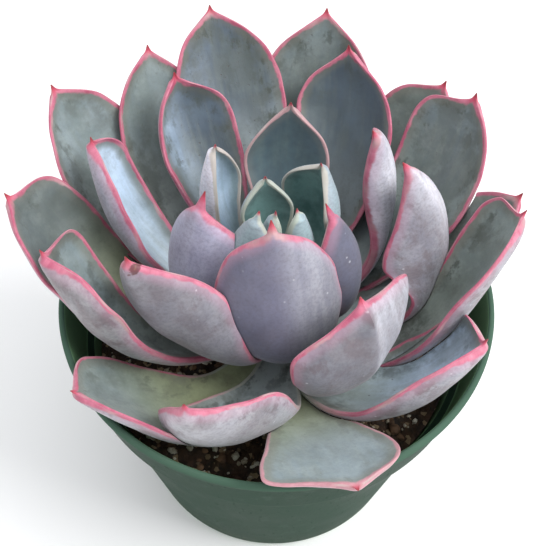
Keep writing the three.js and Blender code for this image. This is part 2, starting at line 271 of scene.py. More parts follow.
# The inside faces are painted a lighter green: painted light on the inside wall, which lies in
# shade.
inside_painted_light = add("Attribute", attribute_name="inside", attribute_type="GEOMETRY").outputs["Fac"]
body = blend_colour(add, between(add, inside_painted_light, 0.2, 0.8, 0.0, 0.85), body, tint("#76a078"))
tree.links.new(body, shader.inputs["Base Color"])
worn = between(add, scratch.outputs[0], 0.62, 0.75, 0.0, 0.12)
rough = add("Math", {0: between(add, cloud.outputs[0], 0.3, 0.7, 0.32, 0.46), 1: worn})
tree.links.new(rough.outputs[0], shader.inputs["Roughness"])
grain = add("Math", {0: fine.outputs[0], 1: scratch.outputs[0]}, operation="ADD")
bump = add("Bump", {"Height": grain.outputs[0], "Strength": 0.18, "Distance": 0.0002})
tree.links.new(bump.outputs[0], shader.inputs["Normal"])
shader.inputs["IOR"].default_value = 1.05
shader.inputs["Subsurface Weight"].default_value = 0.04
shader.inputs["Subsurface Radius"].default_value = (0.002, 0.004, 0.002)
pot.data.materials.append(green)
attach(pot, "root")
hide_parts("pot")

# SOIL. Peat with fine bark, filled to 30 mm below the rim: clods and crumbs, lower
# and looser along the pot's wall, with a hole where the stem goes down.
SOIL_LEVEL = 78
SOIL_LUMP = 1.6
SOIL_EDGE_DROP = 1.6
SOIL_SETTLED = 1.7
LUMPS = 150
LUMP_SPREAD = 63
STEM_Y = -6
GAP = 0.3
CRUMBS = 2600
CRUMB_SPREAD = 66
SOIL_RINGS = 84
SOIL_TURNS = 300


def seeded(seed):
    """The part's own number generator, so that its clods fall where the CAD has them."""
    state = seed

    def draw():
        nonlocal state
        state = (state * 16807) % 2147483647
        return state / 2147483647

    return draw


draw = seeded(4711)
clods = []
for _ in range(LUMPS):
    radius = LUMP_SPREAD * math.sqrt(draw())
    turn = draw() * 2 * math.pi
    clods.append((radius * math.cos(turn), radius * math.sin(turn), 3 + 3.5 * draw()))
fall = random.Random(38)
crumbs = []
for _ in range(CRUMBS):
    radius = CRUMB_SPREAD * math.sqrt(fall.random())
    turn = fall.random() * 2 * math.pi
    crumbs.append((radius * math.cos(turn), radius * math.sin(turn), fall.uniform(0.7, 2.3)))


def soil_height(x, y):
    """The soil's surface: broad clods, then crumbs that sit on them."""
    high = np.zeros_like(x)
    for cx, cy, size in clods:
        near = np.hypot(x - cx, y - cy) / size
        high = np.maximum(high, SOIL_LUMP * (1 - near**2) * size / 5)
    fine = np.zeros_like(x)
    for cx, cy, size in crumbs:
        near = np.hypot(x - cx, y - cy) / size
        fine = np.maximum(fine, 0.62 * size * np.sqrt(np.clip(1 - near**2, 0, 1)))
    return SOIL_LEVEL - SOIL_SETTLED + high + fine


soil_edge = wall_inside(SOIL_LEVEL - SOIL_EDGE_DROP) - 1.5 * GAP
foot = wall_inside(6) - GAP
turns = np.arange(SOIL_TURNS) / SOIL_TURNS * 2 * math.pi
soil_rows = [(foot - 4, FLOOR + GAP), (foot, 6.0)]
rings = [
    np.stack([r * np.cos(turns), r * np.sin(turns), np.full(SOIL_TURNS, z)], 1)
    for r, z in soil_rows
]
for i in range(SOIL_RINGS):
    r = soil_edge * (1 - i / SOIL_RINGS)
    x, y = r * np.cos(turns), r * np.sin(turns)
    z = soil_height(x, y)
    if i == 0:
        z = np.full(SOIL_TURNS, SOIL_LEVEL - SOIL_EDGE_DROP)
    elif i < 4:
        z = z * i / 4 + (SOIL_LEVEL - SOIL_EDGE_DROP) * (1 - i / 4)
    rings.append(np.stack([x, y, z], 1))
points = np.concatenate(rings + [[[0, 0, FLOOR + GAP], [0, 0, SOIL_LEVEL]]])
faces = []
for row in range(len(rings) - 1):
    for i in range(SOIL_TURNS):
        j = (i + 1) % SOIL_TURNS
        a, b = row * SOIL_TURNS, (row + 1) * SOIL_TURNS
        faces.append((a + i, a + j, b + j, b + i))
last = (len(rings) - 1) * SOIL_TURNS
for i in range(SOIL_TURNS):
    j = (i + 1) % SOIL_TURNS
    faces.append((len(points) - 2, j, i))
    faces.append((len(points) - 1, last + i, last + j))
soil_mesh = bpy.data.meshes.new("soil_peat")
soil_mesh.from_pydata((points * MM).tolist(), [], faces)
soil = shown("soil_peat", soil_mesh, 75)


def stem_radius(z):
    return min(8.4, max(2.4, 8.4 - (z - 84) * 0.16))


STEM_FOOT = 52
STEM_TOP = 124


def stem_path(grow):
    path = [(0, STEM_FOOT - grow), (3 + grow, STEM_FOOT - grow)]
    for z in (62, 74, 84, 100, 114, STEM_TOP - 2):
        path.append((stem_radius(z) * min(1, 0.55 + (z - STEM_FOOT) / 50) + grow, z))
    return path + [(1 + grow, STEM_TOP + grow), (0, STEM_TOP + grow)]


bores = bpy.data.collections.new("bores")
bore = lathe("bore", stem_path(GAP), 40, (0, STEM_Y))
bpy.context.scene.collection.objects.unlink(bore)
bores.objects.link(bore)
cut_away(soil, bores)

peat, tree, shader, add = paint("peat_mix")
place = add("TexCoord").outputs["Object"]
clump = add("TexNoise", {"Vector": place, "Scale": 180, "Detail": 5, "Roughness": 0.7})
fibre_way = add("Mapping", {"Vector": place, "Scale": (1, 0.22, 1)})
fibre = add(
    "TexNoise", {"Vector": fibre_way.outputs[0], "Scale": 1500, "Detail": 3, "Roughness": 0.7}
)
crumb = add("TexVoronoi", {"Vector": place, "Scale": 620, "Randomness": 1.0})
brown = blend_colour(
    add, between(add, clump.outputs[0], 0.35, 0.68), tint("#241b15"), tint("#584232"),
)
warm = between(add, fibre.outputs[0], 0.56, 0.74, 0.0, 0.75)
brown = blend_colour(add, warm, brown, tint("#715640"))
chip = add("SeparateColor", {0: crumb.outputs["Color"]})
pale = between(add, chip.outputs[0], 0.88, 0.92, 0.0, 0.7)
brown = blend_colour(add, pale, brown, tint("#b39c7c"))
tree.links.new(brown, shader.inputs["Base Color"])
damp = between(add, clump.outputs[0], 0.3, 0.7, 0.62, 0.95)
tree.links.new(damp, shader.inputs["Roughness"])
relief = add("Math", {0: fibre.outputs[0], 1: crumb.outputs["Distance"]}, operation="SUBTRACT")
bump = add("Bump", {"Height": relief.outputs[0], "Strength": 0.8, "Distance": 0.0006})
tree.links.new(bump.outputs[0], shader.inputs["Normal"])
soil.data.materials.append(peat)
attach(soil, "root")
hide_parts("soil")

# GRIT. What is mixed through the peat and shows on top: popped perlite, white and
# crumbly, and chips of composted bark, each lying half sunk in the surface.
PERLITE = 850
BARK = 420
WALL_CLEAR = 2.5
STEM_CLEAR = 12


def scattered(name, count, seed, small, large, flat, rough):
    """Irregular grains of small..large mm radius, sunk in the soil's top, as one mesh."""
    fall = random.Random(seed)
    places = []
    for _ in range(count):
        size = small + (large - small) * fall.random() ** 2
        radius = (soil_edge - WALL_CLEAR) * math.sqrt(fall.uniform(0.05, 1))
        turn = fall.uniform(0, 2 * math.pi)
        x, y = radius * math.cos(turn), radius * math.sin(turn)
        if math.hypot(x, y - STEM_Y) > STEM_CLEAR:
            places.append((x, y, size))
    tops = soil_height(np.array([x for x, _, _ in places]), np.array([y for _, y, _ in places]))
    ball = bmesh.new()
    bmesh.ops.create_icosphere(ball, subdivisions=2, radius=1)
    ball.verts.ensure_lookup_table()
    corners = [vert.co.copy() for vert in ball.verts]
    sides = [[vert.index for vert in face.verts] for face in ball.faces]
    ball.free()
    points, faces = [], []
    for (x, y, size), z in zip(places, tops):
        way = Matrix.Rotation(fall.uniform(0, 6.28), 3, "Z") @ Matrix.Rotation(
            fall.uniform(-0.5, 0.5), 3, "X"
        )
        seat = Vector((x, y, z - size * flat * 0.12))
        shift = Vector((fall.uniform(0, 90), fall.uniform(0, 90), 0))
        stretch = Vector((1, fall.uniform(0.55, 0.9), flat * fall.uniform(0.8, 1.2)))
        first = len(points)
        for corner in corners:
            swell = 1 + rough * noise.noise(corner * 1.7 + shift)
            swell += rough * 0.4 * noise.noise(corner * 4.5 + shift)
            grown = Vector(a * b * swell * size for a, b in zip(corner, stretch))
            points.append((seat + way @ grown) * MM)
        faces.extend([first + i for i in side] for side in sides)
    mesh = bpy.data.meshes.new(name)
    mesh.from_pydata(points, [], faces)
    piece = shown(name, mesh, 80)
    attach(piece, "root")
    return piece


perlite = scattered("perlite_grains", PERLITE, 5, 0.4, 1.7, 0.9, 0.4)
white, tree, shader, add = paint("perlite")
place = add("TexCoord").outputs["Object"]
pore = add("TexVoronoi", {"Vector": place, "Scale": 1900, "Randomness": 1.0})
stain = add("TexNoise", {"Vector": place, "Scale": 260, "Detail": 3})
cream = blend_colour(
    add, between(add, stain.outputs[0], 0.42, 0.66), tint("#ece6d6"), tint("#a8947a"),
)
hollow = between(add, pore.outputs["Distance"], 0.12, 0.4, 0.55, 0.0)
cream = blend_colour(add, hollow, cream, tint("#7d705c"))
tree.links.new(cream, shader.inputs["Base Color"])
tree.links.new(between(add, stain.outputs[0], 0.3, 0.7, 0.7, 0.95), shader.inputs["Roughness"])
bump = add("Bump", {"Height": pore.outputs["Distance"], "Strength": 0.7, "Distance": 0.0003})
tree.links.new(bump.outputs[0], shader.inputs["Normal"])
perlite.data.materials.append(white)

bark = scattered("bark_chips", BARK, 9, 0.6, 2.6, 0.5, 0.45)
brown_bark, tree, shader, add = paint("composted_bark")
place = add("TexCoord").outputs["Object"]
ring_way = add("Mapping", {"Vector": place, "Scale": (0.3, 1, 1), "Rotation": (0, 0, 0.6)})
layers = add(
    "TexNoise", {"Vector": ring_way.outputs[0], "Scale": 1100, "Detail": 3, "Roughness": 0.7}
)
patch = add("TexNoise", {"Vector": place, "Scale": 95, "Detail": 2})
tone = blend_colour(
    add, between(add, patch.outputs[0], 0.38, 0.62), tint("#4a3325"), tint("#8f6e52"),
)
crack = between(add, layers.outputs[0], 0.45, 0.7, 0.0, 0.7)
tone = blend_colour(add, crack, tone, tint("#221610"))
tree.links.new(tone, shader.inputs["Base Color"])
tree.links.new(between(add, layers.outputs[0], 0.3, 0.7, 0.6, 0.9), shader.inputs["Roughness"])
bump = add("Bump", {"Height": layers.outputs[0], "Strength": 0.7, "Distance": 0.0005})
tree.links.new(bump.outputs[0], shader.inputs["Normal"])
bark.data.materials.append(brown_bark)

# STEM. The short fleshy stem that the leaves grow from, ringed with the pale scars
# of leaves that have dropped. It stands in the soil, a little in front of the middle.
stem_rings = rounded(stem_path(0), [0, 0.8, 2, 2, 2, 4, 4, 1.4, 0.6, 0], 4)
stem = lathe("stem_bark", stem_rings, 96, (0, STEM_Y))
skin, tree, shader, add = paint("stem_skin")
place = add("TexCoord").outputs["Object"]
scar_way = add("Mapping", {"Vector": place, "Scale": (0.25, 0.25, 1)})
scar = add("TexNoise", {"Vector": scar_way.outputs[0], "Scale": 700, "Detail": 3})
mottle = add("TexNoise", {"Vector": place, "Scale": 240, "Detail": 3})
tone = blend_colour(
    add, between(add, mottle.outputs[0], 0.35, 0.65), tint("#8c8a5e"), tint("#6e6344"),
)
tone = blend_colour(add, between(add, scar.outputs[0], 0.58, 0.68, 0.0, 0.8), tone, tint("#b3a783"))
tree.links.new(tone, shader.inputs["Base Color"])
tree.links.new(between(add, scar.outputs[0], 0.3, 0.7, 0.6, 0.85), shader.inputs["Roughness"])
bump = add("Bump", {"Height": scar.outputs[0], "Strength": 0.6, "Distance": 0.0006})
tree.links.new(bump.outputs[0], shader.inputs["Normal"])
stem.data.materials.append(skin)
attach(stem, "root")
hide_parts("stem")

# LEAVES. Thirty-five fleshy cupped leaves, lowest first, each grown from the stem
# and pressed against its neighbours: thick at the base, thin and pink at the margin,
# with a red tooth at the tip and a waxy bloom that rubs off where it is touched.
THICK = 4.8
MARGIN = 0.95
UPPER_SHARE = 0.3
SWELL = 0.75
ALONG_STEPS = 84
ACROSS_STEPS = 35
RIM_STEPS = 3
OUTLINE_WAVE = 0.018
EDGE_RIPPLE = 0.55
DENT = 0.2
COLUMNS = (
    "turn", "reach", "drift", "height", "seat", "launch", "arrive", "full",
    "wide", "cup", "roll", "sway", "bend",
)
ORDINARY = dict(
    widest=0.7, waist=1.5, neck=0.22, blunt=0.66, spur=1.6, apex=1.7, left_horn=0,
    right_horn=0, skew=0, keel=0.6, crease=0.35,
)
# Each row holds the leaf's form, then how it looks: its upper face is sage, and slate by
# bloom, teal by youth, pale blue by frost (on one side or all over) and green at its foot;
# its margin is pink by blush, for fade mm from the tip, line mm wide; its outer face is
# silver, and lilac, mauve or pale with wax. Frost and wax are bloom and partly painted light,
# and side keeps them to the lit half. Scuff darkens both faces with rubbed marks, shade is
# painted shade over both, and cork is the size of a wound, across and back from the tip.
LEAVES = [
    ((276, 76.5, 15, 118.5, 83.5, 0, 34, 0.38, 46, 22, 0, 0, 0),
     dict(blunt=0.4, widest=0.8, waist=2.6, right_horn=8, skew=-0.24, apex=3),
     dict(frost=0.25, green=1, blush=0.75, fade=34, line=0.65, scuff=0.4)),
    ((162, 74, 0, 114, 83.5, -5, 40, 0.38, 32, 30, 0, 0, 0), {}, {}),
    ((98, 74, 0, 119, 83.5, 0, 45, 0.38, 34, 30, 0, 0, 0), {}, {}),
    ((234, 74, -22, 124, 84, -5, 60, 0.5, 46, 36, -4, 5, -6),
     dict(blunt=0.42, waist=1.6, neck=0.32, right_horn=3, skew=0.15, apex=3.5),
     dict(frost=0.1, green=1, fade=50, line=0.6, scuff=0.6, mauve=0.9)),
    ((132, 75, 0, 117, 84, -3, 42, 0.38, 33, 30, 0, 0, 0), {}, {}),
    ((66, 75, 0, 119, 84, 0, 45, 0.38, 34, 30, 0, 0, 0), {}, {}),
    ((16, 83, -3.5, 141, 84, -6, 68, 0.45, 34, 35, 0, 0, 0), dict(left_horn=5),
     dict(green=0.3, scuff=0.6)),
    ((305, 61, 36, 127.5, 86, 5, 80, 0.48, 42, 60, -14, -8, 45),
     dict(blunt=0.3, left_horn=6, apex=5),
     dict(frost=1, green=0.3, scuff=0.8, mauve=0.7, fade=50, line=0.6)),
    ((174, 88, -2, 147, 86, 4, 62, 0.42, 43, 40, 0, 6, 0),
     dict(blunt=0.52, right_horn=12, apex=2.4),
     dict(bloom=0.3, green=0.9, scuff=0.7, shade=0.3)),
    ((50, 92, -2, 147, 86, 14, 66, 0.4, 38, 35, 0, 3, 0), dict(blunt=0.48, left_horn=8),
     dict(green=0.3, scuff=0.7)),
    ((345, 74.5, 30.5, 143, 87, -4, 64, 0.48, 38, 60, -10, -10, 25),
     dict(blunt=0.36, widest=0.8, waist=2, left_horn=18, skew=-0.22, apex=4.5),
     dict(bloom=0.3, green=0.2, scuff=1, mauve=0.9, line=0.7)),
    ((148, 95.5, -5, 155, 87, 12, 68, 0.4, 41, 35, 0, 0, 0), dict(blunt=0.6, right_horn=4),
     dict(frost=0.2, green=0.2, scuff=0.8)),
    ((80, 95.5, -1, 160, 88, 16, 70, 0.4, 46, 35, 0, 0, 0), dict(blunt=0.54),
     dict(bloom=0.45, scuff=0.9)),
    ((266, 57.5, -22.5, 133, 88, -5, 100, 0.45, 46, 55, 32, 3, -40),
     dict(skew=0.2, widest=0.62, apex=1.8),
     dict(frost=0.4, fade=42, scuff=0.8, mauve=0.35, lilac=0.1, line=0.55, shade=0.12, wax=0.3)),
    ((123, 93.5, -3.5, 153, 89, 20, 66, 0.4, 37, 35, 0, 8, 0), dict(blunt=0.5),
     dict(frost=0.15, scuff=0.9)),
    ((198, 72, -10, 148, 89, 6, 75, 0.42, 38, 75, 12, 10, -10),
     dict(blunt=0.4, widest=0.8, waist=2.4, right_horn=14, skew=0.05, apex=3),
     dict(frost=0.2, scuff=0.7, mauve=0.7, lilac=0.1, line=0.65)),
    ((40, 88, -1.5, 153, 89, 8, 72, 0.42, 38, 40, 0, -8, 0),
     dict(blunt=0.48, left_horn=13, skew=0.1),
     dict(bloom=0.55, scuff=1)),
    ((104, 98.5, 2, 160, 91, 30, 62, 0.38, 42, 35, 0, 0, 0), dict(blunt=0.54, skew=-0.1),
     dict(bloom=1, frost=0.2, side=1, scuff=1, shade=0.15)),
    ((310, 36.5, 0, 147, 93, -5, 112, 0.55, 58, 46, 0, 0, 0),
     dict(left_horn=5, right_horn=9, skew=0.14, apex=2.4, keel=2.4, crease=0.16),
     dict(scuff=0.6, lilac=0.3, mauve=0.6, wax=0.9, side=3, shade=0.38, line=0.65)),
    ((222, 45.5, -16.5, 152, 93, 18, 84, 0.42, 45, 58, 34, 4, -14),
     dict(widest=0.58, waist=1.1, neck=0.3, skew=0.05, keel=1.8, crease=0.2),
     dict(frost=0.5, scuff=0.4, lilac=0.3, mauve=0.4, shade=0.15, line=0.8,
          cork=2, cork_across=2, cork_back=4.5)),
    ((156, 70.5, -5, 151, 94, 20, 80, 0.4, 30, 80, 18, 7, 0),
     dict(blunt=0.55, right_horn=17, skew=0.08, apex=3),
     dict(frost=1, scuff=0.3, lilac=0.8, wax=0.4, line=0.85)),
    ((70, 81.5, 3, 156, 94, 30, 78, 0.38, 42, 52, -10, -8, 0),
     dict(blunt=0.52, left_horn=5, skew=-0.06),
     dict(bloom=1, scuff=0.6, youth=0.1, shade=0.35)),
    ((2, 40, 18.5, 154, 95, -10, 124, 0.75, 48, 60, -30, 0, 0), dict(keel=1.4, crease=0.2),
     dict(frost=0.4, scuff=0.35, lilac=0.4, mauve=0.6, wax=1, side=0.8, line=0.8)),
    ((122, 73.5, -2.5, 154, 96, 34, 78, 0.4, 34, 62, 0, 2, 0),
     dict(blunt=0.44, right_horn=4, skew=-0.12),
     dict(bloom=1, frost=0.7, side=1, scuff=0.8, shade=0.1)),
    ((22, 41.5, 20.5, 154, 97, 5, 112, 0.55, 34, 70, -50, 0, 0), dict(skew=0.45),
     dict(frost=0.2, bloom=0.5, scuff=0.2, lilac=0.9, mauve=0.1, wax=1, line=0.8)),
    ((82, 46, 2.5, 156, 99, 35, 95, 0.42, 33, 50, 0, 0, 0), {},
     dict(youth=0.35, bloom=1, blush=0.6, line=0.4, scuff=0, shade=0.35)),
    ((280, 8.5, -4, 158.5, 101, 8, 118, 0.58, 45, 50, 0, 1, 0),
     dict(blunt=0.42, widest=0.62, right_horn=2, spur=2.4, apex=4),
     dict(scuff=0.25, lilac=1, mauve=0.15, line=1, shade=0.52, wax=0.8, side=1)),
    ((208, 17.5, -15.5, 155, 101, 10, 112, 0.58, 40, 60, 12, 0, 0),
     dict(left_horn=6, right_horn=9, skew=0.3, spur=3.5, apex=2.4),
     dict(scuff=0.15, lilac=1, mauve=0.1, line=1, wax=0.2)),
    ((126, 37, -1, 151, 103, 30, 100, 0.48, 21, 95, 20, 3, 0),
     dict(waist=2, right_horn=6, apex=2.6),
     dict(youth=0.6, frost=1, blush=0.3, line=0.35, scuff=0, lilac=0.8, wax=1)),
    ((342, 12.5, 8, 152, 104, 12, 115, 0.58, 27, 60, 0, 0, 0), dict(spur=3, apex=1.8),
     dict(youth=0.1, scuff=0.15, lilac=1, mauve=0.2, line=0.8, shade=0.55)),
    ((52, 26, 3, 151, 106, 30, 105, 0.5, 31, 75, -15, 0, 0), dict(left_horn=5, apex=2.6),
     dict(youth=0.95, blush=0.25, line=0.35, scuff=0, lilac=0.5)),
    ((228, 4.5, -4, 153, 109, 22, 115, 0.5, 20, 60, 0, 0, 0), {},
     dict(youth=0.9, blush=0.15, line=0.35, scuff=0, shade=0.1)),
    ((101, 20.5, 0.5, 147, 109, 45, 98, 0.42, 20, 60, 0, 0, 0), {},
     dict(youth=0.95, blush=0.15, line=0.35, scuff=0, shade=0.1)),
    ((335, 4, 4.5, 151, 114, 55, 100, 0.4, 11, 60, 0, 0, 0), {},
     dict(youth=1, blush=0.15, line=0.4, scuff=0)),
    ((200, 0.5, -1.5, 151, 116, 65, 95, 0.4, 9, 60, 0, 0, 0), {},
     dict(youth=1, blush=0.15, line=0.4, scuff=0)),
]
PLAIN_LOOK = dict(
    youth=0, bloom=0.2, frost=0, side=0, green=0.1, shade=0, blush=1, fade=200, line=0.95,
    scuff=0.6, lilac=0.3, wax=0, mauve=0.2, cork=0.01, cork_across=0, cork_back=0,
)


def smooth(low, high, x):
    s = np.clip((x - low) / (high - low), 0, 1)
    return s * s * (3 - 2 * s)


def unit(rows):
    return rows / np.linalg.norm(rows, axis=-1, keepdims=True)


def waves(seed, count, shortest, longest):
    """A sum of seeded waves over a plane of mm, about 1 high at most."""
    fall = random.Random(seed)
    terms = []
    for _ in range(count):
        length = fall.uniform(shortest, longest)
        way = fall.uniform(0, 2 * math.pi)
        terms.append((2 * math.pi / length, way, fall.uniform(0, 2 * math.pi)))

    def at(x, y):
        total = 0
        for k, way, phase in terms:
            total = total + np.sin(k * (x * math.cos(way) + y * math.sin(way)) + phase)
        return total / (0.5 * count**0.5 + 0.5 * count)

    return at


def leaf_form(spec, seed, grow):
    """The leaf's rows of points, and for each its place on the leaf: (mm across, mm along,
    mm from the margin, mm from the tip, 1 on the upper face to 0 on the outer one)."""
    turn = math.radians(spec["turn"])
    tip_turn = math.radians(spec["turn"] + spec["bend"])
    out = np.array([math.cos(turn), math.sin(turn), 0])
    side = np.array([-math.sin(turn), math.cos(turn), 0])
    tip_out = np.array([math.cos(tip_turn), math.sin(tip_turn), 0])
    tip_side = np.array([-math.sin(tip_turn), math.cos(tip_turn), 0])
    launch, arrive = math.radians(spec["launch"]), math.radians(spec["arrive"])
    wide, up_axis = spec["wide"], np.array([0, 0, 1])
    root = min(0.8 * THICK, 0.55 * wide * spec["neck"])
    lean = UPPER_SHARE * root * max(0, math.sin(launch))
    base = out * (stem_radius(spec["seat"]) + GAP + lean) + [0, STEM_Y, spec["seat"]]
    tip = out * spec["reach"] + side * spec["drift"] + [0, STEM_Y, spec["height"]]
    chord = np.linalg.norm(tip - base)
    swing, arm = side * spec["sway"], spec["full"] * chord
    first = base + (out * math.cos(launch) + up_axis * math.sin(launch)) * arm + swing
    second = tip - (tip_out * math.cos(arrive) + up_axis * math.sin(arrive)) * arm + swing

    t = 1 - (1 - np.linspace(0, 1, ALONG_STEPS)) ** 1.45
    s = t[:, None]
    centre = base * (1 - s) ** 3 + 3 * first * s * (1 - s) ** 2 + 3 * second * s**2 * (1 - s)
    centre = centre + tip * s**3
    along = (first - base) * (1 - s) ** 2 + 2 * (second - first) * s * (1 - s)
    along = unit(along + (tip - second) * s**2)
    across = side * (1 - s) + tip_side * s
    across = unit(across - along * (across * along).sum(-1, keepdims=True))
    up = np.cross(along, across)
    roll = math.radians(spec["roll"]) * smooth(0, 0.8, s)
    left = across * np.cos(roll) + up * np.sin(roll)
    lift = up * np.cos(roll) - across * np.sin(roll)
    run = np.concatenate([[0], np.cumsum(np.linalg.norm(np.diff(centre, axis=0), axis=1))])

    body_end = 1 - spec["spur"] / chord
    rise = np.sin(np.pi / 2 * np.clip(t / spec["widest"], 0, 1) ** spec["waist"])
    fall = np.clip((t - spec["widest"]) / (body_end - spec["widest"]), 0, 1)
    round_end = np.where(
        t < spec["widest"], spec["neck"] + (1 - spec["neck"]) * rise,
        (1 - fall * fall) ** spec["blunt"],
    )
    pointed = spec["apex"] * np.maximum(1e-3, (body_end - t) * chord) / (wide / 2)
    body = (np.maximum(round_end, 1e-3) ** -6.0 + pointed**-6.0) ** (-1 / 6)
    to_tip = run[-1] - run
    tooth = (0.16 + 0.9 * (to_tip / (spec["spur"] + 1.6)) ** 1.2) / (wide / 2)
    tooth = np.minimum(tooth, 0.14)
    half = wide / 2 * (body**3 + tooth**3) ** (1 / 3)
    cup = math.radians(spec["cup"]) * (0.55 + 0.45 * smooth(0, 0.6, t))
    flesh = THICK * (0.8 + 0.2 * smooth(0, 0.3, t)) * (1 - 0.45 * smooth(0.6, 0.95, t))
    room = np.minimum(flesh, half * 1.1)
    keel = spec["keel"] * smooth(0.4, 0.8, t) * np.minimum(1, half / 8)
    edge = np.minimum(MARGIN, room)

    v = np.sin(np.pi / 2 * np.linspace(-1, 1, ACROSS_STEPS))
    swell = np.maximum(0, 1 - np.abs(v) ** 2.5) ** SWELL
    angle = cup[:, None] * v
    outline = waves(seed, 4, 9, 26)(run[:, None], np.sign(v) * 40)
    reach = half[:, None] * (1 + spec["skew"] * v) + grow
    reach = reach * (1 + OUTLINE_WAVE * outline * np.minimum(1, half[:, None] / 8))
    sideways = reach * np.sin(angle) / cup[:, None]
    climb = reach * (1 - np.cos(angle)) / cup[:, None]
    horn = np.where(v > 0, spec["left_horn"], spec["right_horn"])
    ahead = horn * (np.abs(sideways) / (wide / 2)) ** 1.5 * smooth(0.3, 0.8, t)[:, None]
    flat = reach * v
    settle = np.minimum(1, half / 12)[:, None] * smooth(0.1, 0.45, t)[:, None]
    ripple = waves(seed + 100, 3, 14, 30)(run[:, None] + ahead, np.sign(v) * 30)
    ripple = EDGE_RIPPLE * ripple * np.abs(v) ** 4 * settle
    dent = DENT * waves(seed + 200, 6, 9, 24)(run[:, None] + ahead, flat) * settle
    middle = centre[:, None] + left[:, None] * sideways[..., None]
    middle = middle + lift[:, None] * climb[..., None] + along[:, None] * ahead[..., None]
    normal = lift[:, None] * np.cos(angle)[..., None] - left[:, None] * np.sin(angle)[..., None]
    middle = middle + normal * (ripple + dent)[..., None]
    thick = edge[:, None] + (room - edge)[:, None] * swell
    ridge = keel[:, None] * np.exp(-(np.abs(v / spec["crease"]) ** 1.5))
    top = middle + normal * (UPPER_SHARE * thick + grow)[..., None]
    low = middle - normal * ((1 - UPPER_SHARE) * thick + ridge + grow)[..., None]

    def rim(column, sign):
        outward = left * np.cos(angle[:, column])[:, None]
        outward = sign * (outward + lift * np.sin(angle[:, column])[:, None])
        heart = middle[:, column] + normal[:, column] * ((UPPER_SHARE - 0.5) * edge)[:, None]
        rows = []
        for i in range(RIM_STEPS):
            slope = math.pi / 2 - math.pi * (i + 1) / (RIM_STEPS + 1)
            arc = outward * math.cos(slope) + normal[:, column] * math.sin(slope)
            rows.append(heart + arc * (edge / 2 + grow)[:, None])
        return np.stack(rows, 1)

    places = np.stack([flat, run[:, None] + ahead], -1)
    bounds = np.concatenate([places[:, 0], places[::-1, -1]])
    starts, steps = bounds[:-1], np.diff(bounds, axis=0)
    length = (steps**2).sum(-1) + 1e-9
    from_start = places[:, :, None] - starts
    share = np.clip((from_start * steps).sum(-1) / length, 0, 1)
    gaps = np.linalg.norm(from_start - share[..., None] * steps, axis=-1)
    margin = gaps.min(-1)
    apex = np.hypot(flat, run[-1] - run[:, None] - ahead)

    def facts(columns, upper):
        rows = np.zeros((ALONG_STEPS, len(columns), 5))
        rows[..., :2] = places[:, columns]
        rows[..., 2] = margin[:, columns]
        rows[..., 3] = apex[:, columns]
        rows[..., 4] = upper
        return rows

    columns = list(range(ACROSS_STEPS))
    right_rim, left_rim = rim(-1, 1), rim(0, -1)
    points = np.concatenate([top, right_rim, low[:, ::-1], left_rim[:, ::-1]], 1)
    notes = np.concatenate(
        [
            facts(columns, 1), facts([-1] * RIM_STEPS, 0.5),
            facts(columns[::-1], 0), facts([0] * RIM_STEPS, 0.5),
        ],
        1,
    )
    return points, notes


def leaf_mesh(name, points):
    """The closed mesh of rows of points, each row a loop round the leaf."""
    rows, loop = points.shape[:2]
    faces = []
    for row in range(rows - 1):
        a, b = row * loop, (row + 1) * loop
        for i in range(loop):
            j = (i + 1) % loop
            faces.append((a + i, b + i, b + j, a + j))
    for row, flip in ((0, False), (rows - 1, True)):
        first = row * loop
        half = ACROSS_STEPS
        upper = [first + i for i in range(half)]
        lower = [first + half + RIM_STEPS + i for i in range(half)][::-1]
        for i in range(half - 1):
            face = (upper[i], upper[i + 1], lower[i + 1], lower[i])
            faces.append(face[::-1] if flip else face)
        right = [first + half + i for i in range(RIM_STEPS)]
        left = [first + 2 * half + RIM_STEPS + i for i in range(RIM_STEPS)]
        for corners in ((upper[-1], *right, lower[-1]), (lower[0], *left, upper[0])):
            faces.append(corners[::-1] if flip else corners)
    mesh = bpy.data.meshes.new(name)
    mesh.from_pydata((points.reshape(-1, 3) * MM).tolist(), [], faces)
    return mesh


def keep_largest(mesh):
    """Drops every loose scrap of the mesh but its largest part."""
    made = bmesh.new()
    made.from_mesh(mesh)
    left, parts = set(made.verts), []
    while left:
        group, edge = set(), [next(iter(left))]
        while edge:
            vert = edge.pop()
            if vert in left:
                left.remove(vert)
                group.add(vert)
                edge.extend(link.other_vert(vert) for link in vert.link_edges)
        parts.append(group)
    parts.sort(key=len)
    scraps = [vert for group in parts[:-1] for vert in group]
    bmesh.ops.delete(made, geom=scraps, context="VERTS")
    made.to_mesh(mesh)
    made.free()


FACES_APART = 60


def note_places(mesh, points, notes):
    """Writes each vertex's place on the leaf, taken from the nearest untrimmed point."""
    tree = KDTree(len(points))
    for i, point in enumerate(points):
        tree.insert(point, i)
    tree.balance()
    count = len(mesh.vertices)
    where = np.empty(count * 3)
    mesh.vertices.foreach_get("co", where)
    nearest = [tree.find(point)[1] for point in where.reshape(-1, 3)]
    found = notes[nearest]
    for key, column in (("margin_mm", 2), ("tip_mm", 3), ("upper", 4)):
        mesh.attributes.new(key, "FLOAT", "POINT").data.foreach_set(
            "value", np.ascontiguousarray(found[:, column], np.float32)
        )
    skin_place = np.zeros((count, 3), np.float32)
    skin_place[:, :2] = found[:, :2]
    skin_place[:, 2] = found[:, 4] * FACES_APART
    mesh.attributes.new("skin_mm", "FLOAT_VECTOR", "POINT").data.foreach_set(
        "vector", skin_place.ravel()
    )


